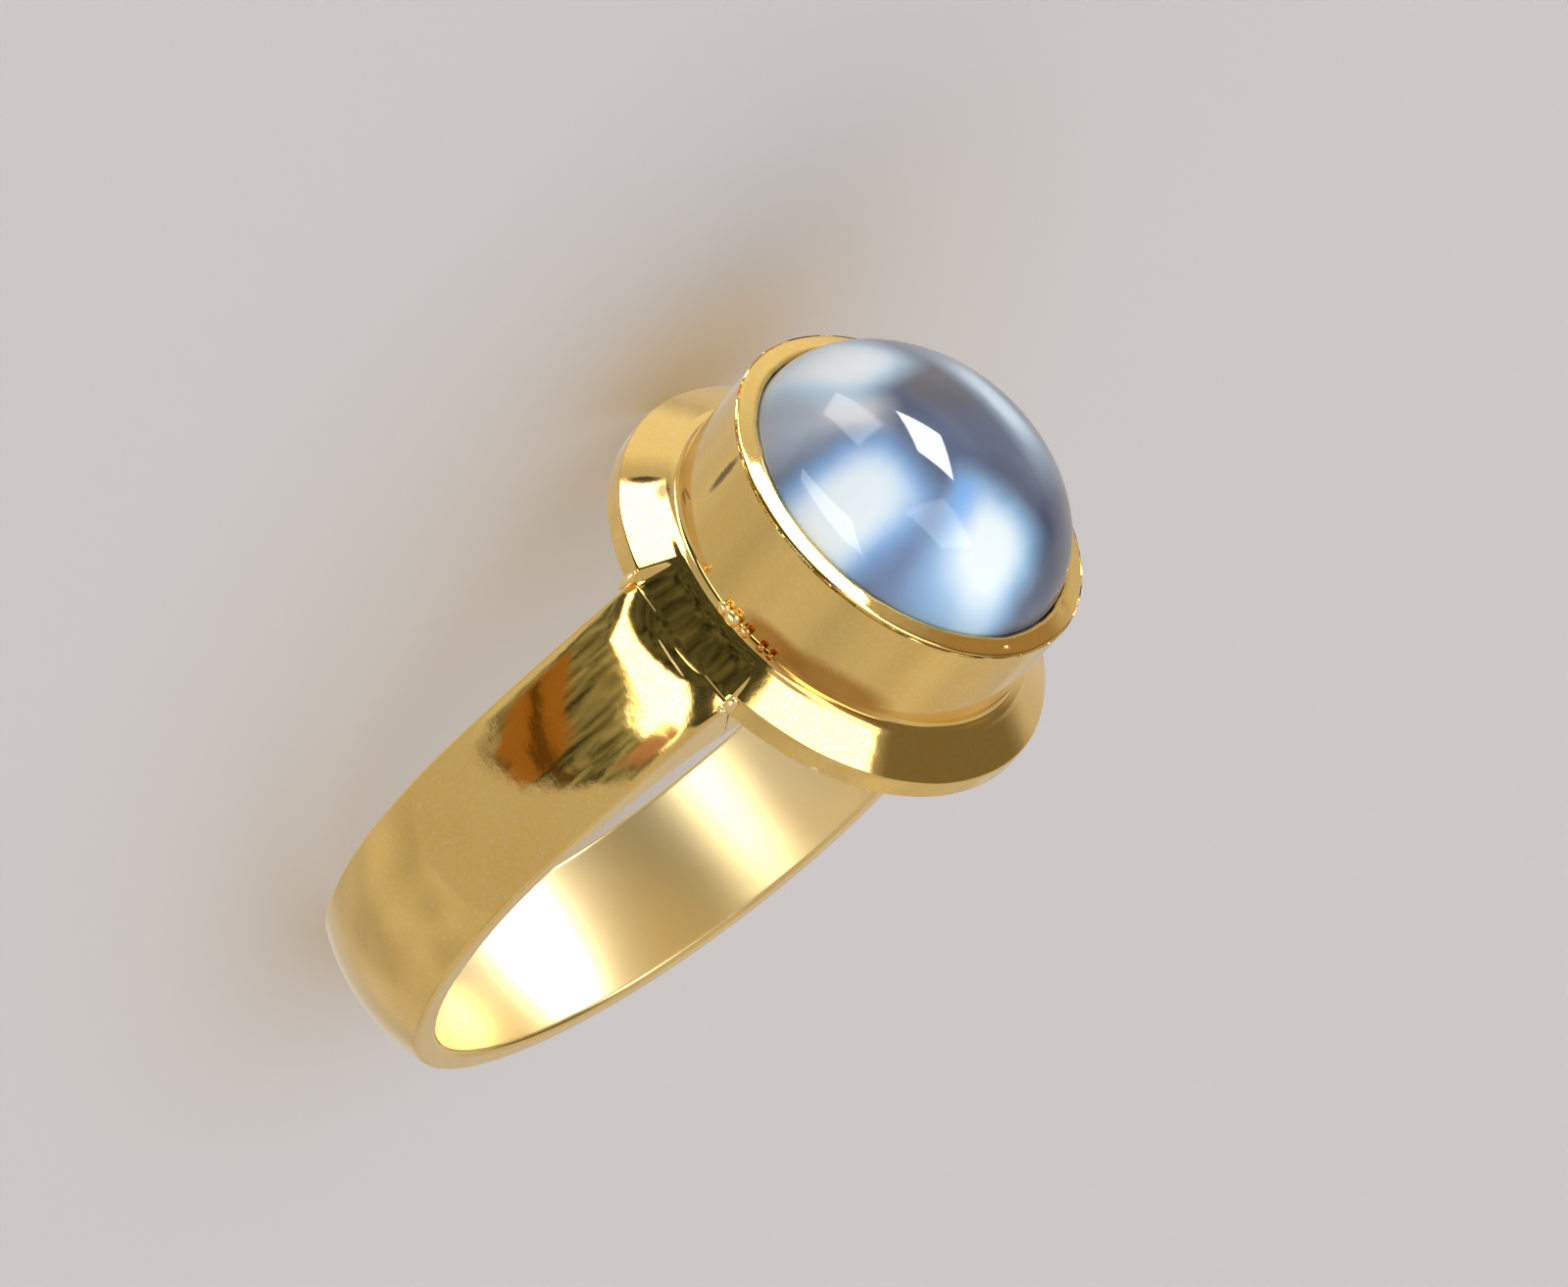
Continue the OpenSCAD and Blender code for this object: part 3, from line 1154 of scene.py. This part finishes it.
@dataclass(frozen=True)
class Panel:
    """One soft-edged panel or dark flag of the studio, as the ring sees it.

    Attributes:
        name: what it is.
        turn: direction of its middle round the ring, in degrees from -Y towards +X.
        rise: direction of its middle above the horizon, in degrees.
        half_turn: half of its width, in degrees.
        half_rise: half of its height, in degrees.
        colour: its colour.
        strength: its brightness, where 1 is white paper in full light.
        soft: width of its blurred edge, in degrees.
        lean: degrees that it moves round for each degree of height.
        slope: degrees that it rises for each degree round.
        mottle: how unevenly it is lit, from 0 to 1.
    """

    name: str
    turn: float
    rise: float
    half_turn: float
    half_rise: float
    colour: str
    strength: float
    soft: float = 1.0
    lean: float = 0.0
    slope: float = 0.0
    mottle: float = 0.0

    def share(self, tree: Tree, around: Socket, rise: Socket) -> Socket:
        """Adds the nodes that tell where the panel is seen.

        Args:
            tree: the room's node tree.
            around: the direction round the ring, in degrees.
            rise: the direction above the horizon, in degrees.

        Returns:
            The share, from 0 beside the panel to 1 on it.
        """
        share: Socket | float = 1.0
        start = self.lean * self.rise - self.turn
        sides = [(around, rise, self.lean, start, self.half_turn)]
        start = self.slope * self.turn - self.rise
        sides.append((rise, around, self.slope, start, self.half_rise))
        for own, other, lean, start, half in sides:
            off = {0: other, 1: -lean, 2: start}
            off = add_node(tree, "ShaderNodeMath", off, operation="MULTIPLY_ADD").outputs[0]
            off = add_node(tree, "ShaderNodeMath", {0: own, 1: off}, operation="ADD").outputs[0]
            far = add_node(tree, "ShaderNodeMath", {0: off}, operation="ABSOLUTE").outputs[0]
            fade = {0: far, 1: half + self.soft, 2: half - self.soft}
            part = add_node(tree, "ShaderNodeMapRange", fade, interpolation_type="SMOOTHSTEP").outputs[0]
            share = add_node(tree, "ShaderNodeMath", {0: share, 1: part}, operation="MULTIPLY").outputs[0]
        return share

    def light(self, tree: Tree, uneven: Socket) -> Socket | Colour:
        """Gives the light of the panel.

        Args:
            tree: the room's node tree.
            uneven: a fine random pattern over all directions.

        Returns:
            One colour, or the output of a mottled one.
        """
        light = tuple(c * self.strength for c in linear(self.colour)[:3])
        if not self.mottle:
            return (*light, 1.0)
        level = {0: uneven, 1: 0.35, 2: 0.65, 3: 1.0 - self.mottle, 4: 1.0 + self.mottle}
        level = add_node(tree, "ShaderNodeMapRange", level).outputs[0]
        lit = {0: light, "Scale": level}
        return add_node(tree, "ShaderNodeVectorMath", lit, operation="SCALE").outputs[0]


PANELS = (
    Panel("dark room behind the camera", 47.5, -12.0, 37.0, 36.0, "#7a7a6c", 1.0, 1.0, 0.1, mottle=0.85),
    Panel("darker room beside the camera", 46.0, -18.0, 12.0, 16.0, "#33342a", 1.0, 6.0),
    Panel("bright surface before the lamp", -48.0, -38.0, 20.0, 20.0, "#f4efe8", 1.0, 8.0),
    Panel("dim wall above the lamp", -52.0, 38.0, 33.0, 24.0, "#7c7260", 1.0, 7.0),
    Panel("tan wall beside the lamp", -48.0, 14.0, 14.0, 10.0, "#a38c6c", 1.0, 5.0),
    Panel("upper softbox", 1.0, 36.0, 14.5, 13.0, "#fffaf0", 4.2, 1.5, -0.3),
    Panel("lower reflector", -3.0, -31.0, 11.0, 14.0, "#fffaf4", 5.0, 1.5, 0.25),
    Panel("lamp window", -21.8, -1.5, 7.5, 20.0, "#ffffff", 25.0, 0.6, 0.5, -2.2),
    Panel("side reflector", 62.5, -9.0, 11.1, 27.0, "#fffaf0", 4.8, 0.6, 0.2835, 0.3),
    Panel("dark flag beside the reflector", 34.0, -13.0, 23.4, 34.0, "#4b4c3f", 1.0, 0.8, 0.02, mottle=0.85),
    Panel("dark corner above the reflector", 68.0, 21.6, 11.0, 6.5, "#33342a", 1.0, 0.7, 0.0, 0.7),
    Panel("brown panel beside the ring", 79.4, -27.0, 4.7, 19.0, "#986b36", 1.0, 0.6, 0.27),
    Panel("dark gap in the brown panel", 80.0, -20.0, 0.8, 25.0, "#4b3417", 1.0, 0.5, 0.2),
    Panel("second dark gap", 83.2, -34.0, 0.5, 12.0, "#4b3417", 1.0, 0.4, 0.05),
    Panel("reddish panel", 82.0, 18.5, 2.6, 4.5, "#b28a7e", 1.0, 1.2, 0.1),
    Panel("pale wall beyond the brown panel", 103.0, -14.0, 18.0, 60.0, "#c4bfbd", 1.0, 0.5, 0.08),
)


@dataclass
class Studio:
    """Pale floor, soft lights and the camera.

    Attributes:
        picture: width of the picture in pixels.
        sensor: width of the camera's sensor.
        focal: focal length in pixels of the picture.
        distance: distance from the camera to the finger hole's centre.
        aim: where the middle of the picture lies from the camera's first axis, in pixels.
        backdrop: colour of the room's pale walls.
        paper: colour of the floor, which looks like the backdrop in the fill light.
        fill: brightness of the even light on what scatters it.
        floor_half: half of the floor's width, in metres.
    """

    picture: float = 1600.0
    sensor: float = 36.0
    focal: float = 7506.0
    distance: float = 197.89
    aim: Pair = (133.54, -151.24)
    backdrop: str = "#cdc8c6"
    paper: str = "#c0bbba"
    fill: float = 1.15
    floor_half: float = 3.0

    def camera(self) -> None:
        """Sets the camera at the photograph's angle to the ring."""
        # The picture's right, its down and the way ahead, in the upright ring.
        right = Vector((-0.62421, 0.58821, 0.51416))
        down = Vector((0.23641, 0.76949, -0.59330))
        ahead = Vector((-0.74463, -0.24879, -0.61938))
        spot = -ahead * self.distance
        off = [pixels / self.focal for pixels in self.aim]
        forward = (ahead + right * off[0] + down * off[1]).normalized()
        side = (right - forward * right.dot(forward)).normalized()
        up = side.cross(forward)
        axes = [POSE.turn(v) for v in (side, up, -forward)]
        data = bpy.data.cameras.new("camera")
        data.sensor_width = self.sensor
        data.lens = self.focal * self.sensor / self.picture
        data.clip_start, data.clip_end = 0.01, 20.0
        eye = bpy.data.objects.new("camera", data)
        turn = Matrix([axes[0], axes[1], axes[2]]).transposed().to_4x4()
        eye.matrix_world = Matrix.Translation(POSE.place(spot)) @ turn
        bpy.context.scene.collection.objects.link(eye)
        bpy.context.scene.camera = eye

    def floor(self) -> None:
        """Lays the pale floor, which isn't part of the ring."""
        mesh = bpy.data.meshes.new("floor")
        r = self.floor_half
        mesh.from_pydata([(-r, -r, 0), (r, -r, 0), (r, r, 0), (-r, r, 0)], [], [(0, 1, 2, 3)])
        # Matt paper takes the ring's soft shade and mirrors nothing.
        material = bpy.data.materials.new("pale_paper_sweep")
        material.use_nodes = True
        shader = material.node_tree.nodes["Principled BSDF"]
        shader.inputs["Base Color"].default_value = linear(self.paper)
        shader.inputs["Roughness"].default_value = 0.9
        mesh.materials.append(material)
        floor = bpy.data.objects.new("floor", mesh)
        bpy.context.scene.collection.objects.link(floor)
        floor.visible_glossy = False
        floor.visible_shadow = False

    def room(self) -> None:
        """Makes the pale room with its panels, which the metal and the stone reflect."""
        world = bpy.data.worlds.new("pale_studio_room")
        world.use_nodes = True
        tree = world.node_tree
        tree.nodes.clear()
        way = add_node(tree, "ShaderNodeTexCoord").outputs["Generated"]
        parts = add_node(tree, "ShaderNodeSeparateXYZ", {0: way}).outputs
        back = add_node(tree, "ShaderNodeMath", {0: parts["Y"], 1: -1.0}, operation="MULTIPLY").outputs[0]
        around = add_node(tree, "ShaderNodeMath", {0: parts["X"], 1: back}, operation="ARCTAN2").outputs[0]
        around = add_node(tree, "ShaderNodeMath", {0: around}, operation="DEGREES").outputs[0]
        rise = add_node(tree, "ShaderNodeMath", {0: parts["Z"]}, operation="ARCSINE").outputs[0]
        rise = add_node(tree, "ShaderNodeMath", {0: rise}, operation="DEGREES").outputs[0]
        # The plain walls are lit a little unevenly, which gives the round band and the collar some life.
        wide = {"Vector": way, "Scale": 2.2, "Detail": 1.0}
        wide = add_node(tree, "ShaderNodeTexNoise", wide).outputs["Fac"]
        level = add_node(tree, "ShaderNodeMapRange", {0: wide, 1: 0.3, 2: 0.7, 3: 0.8, 4: 1.12}).outputs[0]
        wall = {0: linear(self.backdrop)[:3], "Scale": level}
        colour = add_node(tree, "ShaderNodeVectorMath", wall, operation="SCALE").outputs[0]
        uneven = {"Vector": way, "Scale": 20.0, "Detail": 4.0, "Roughness": 0.6}
        uneven = add_node(tree, "ShaderNodeTexNoise", uneven).outputs["Fac"]
        for panel in PANELS:
            mix = {"Factor": panel.share(tree, around, rise), 6: colour, 7: panel.light(tree, uneven)}
            colour = add_node(tree, "ShaderNodeMix", mix, data_type="RGBA", clamp_result=False).outputs[2]
        # The panels light the metal's and the stone's mirror images alone. The camera sees the plain
        # backdrop, and what scatters light, such as the floor, gets an even white light from all round.
        path = add_node(tree, "ShaderNodeLightPath").outputs
        direct = {0: 1.0, 1: path["Diffuse Depth"]}
        direct = add_node(tree, "ShaderNodeMath", direct, operation="SUBTRACT", use_clamp=True).outputs[0]
        mirror = {0: path["Is Glossy Ray"], 1: direct}
        mirror = add_node(tree, "ShaderNodeMath", mirror, operation="MULTIPLY").outputs[0]
        white = (self.fill, self.fill, self.fill, 1.0)
        even = {"Factor": path["Is Camera Ray"], 6: white, 7: linear(self.backdrop)}
        plain = add_node(tree, "ShaderNodeMix", even, data_type="RGBA").outputs[2]
        mix = {"Factor": mirror, 6: plain, 7: colour}
        colour = add_node(tree, "ShaderNodeMix", mix, data_type="RGBA").outputs[2]
        light = add_node(tree, "ShaderNodeBackground", {"Color": colour, "Strength": 1.0})
        add_node(tree, "ShaderNodeOutputWorld", {"Surface": light.outputs[0]})
        world.cycles.sampling_method = "NONE"
        bpy.context.scene.world = world
        bpy.context.scene.view_settings.view_transform = "Standard"

    def build(self) -> None:
        """Builds the floor, the lights and the camera."""
        self.floor()
        self.room()
        self.camera()


def settle(piece: Thing, node: Solid, slot: Slot) -> None:
    """Hangs a finished piece on the root, hides the solid that it stands for and logs its material slot.

    Args:
        piece: the finished object.
        node: the solid that it stands for.
        slot: the record's material slot.
    """
    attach(piece, "root")
    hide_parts(node.value)
    log.info("%s: %d faces, in %s", piece.name, len(piece.data.polygons), slot.value)


def main() -> None:
    """Builds the ring and its studio."""
    gold = YellowGold().make()
    # The solder froze as it flowed and was never polished, so it is paler and duller than the gold round it.
    flowed = YellowGold("flowed_gold_solder", "#fbdf9e", "#fdecc4", "#f8d18a", polish=0.3).make()
    for part, finish in ((Band(), gold), (Head(), gold), (Solder(), flowed)):
        settle(part.build(finish), Solid.MOUNT, Slot.GOLD)
    settle(Cabochon().build(Moonstone().make()), Solid.STONE, Slot.STONE)
    Studio().build()


if __name__ == "__main__":
    main()
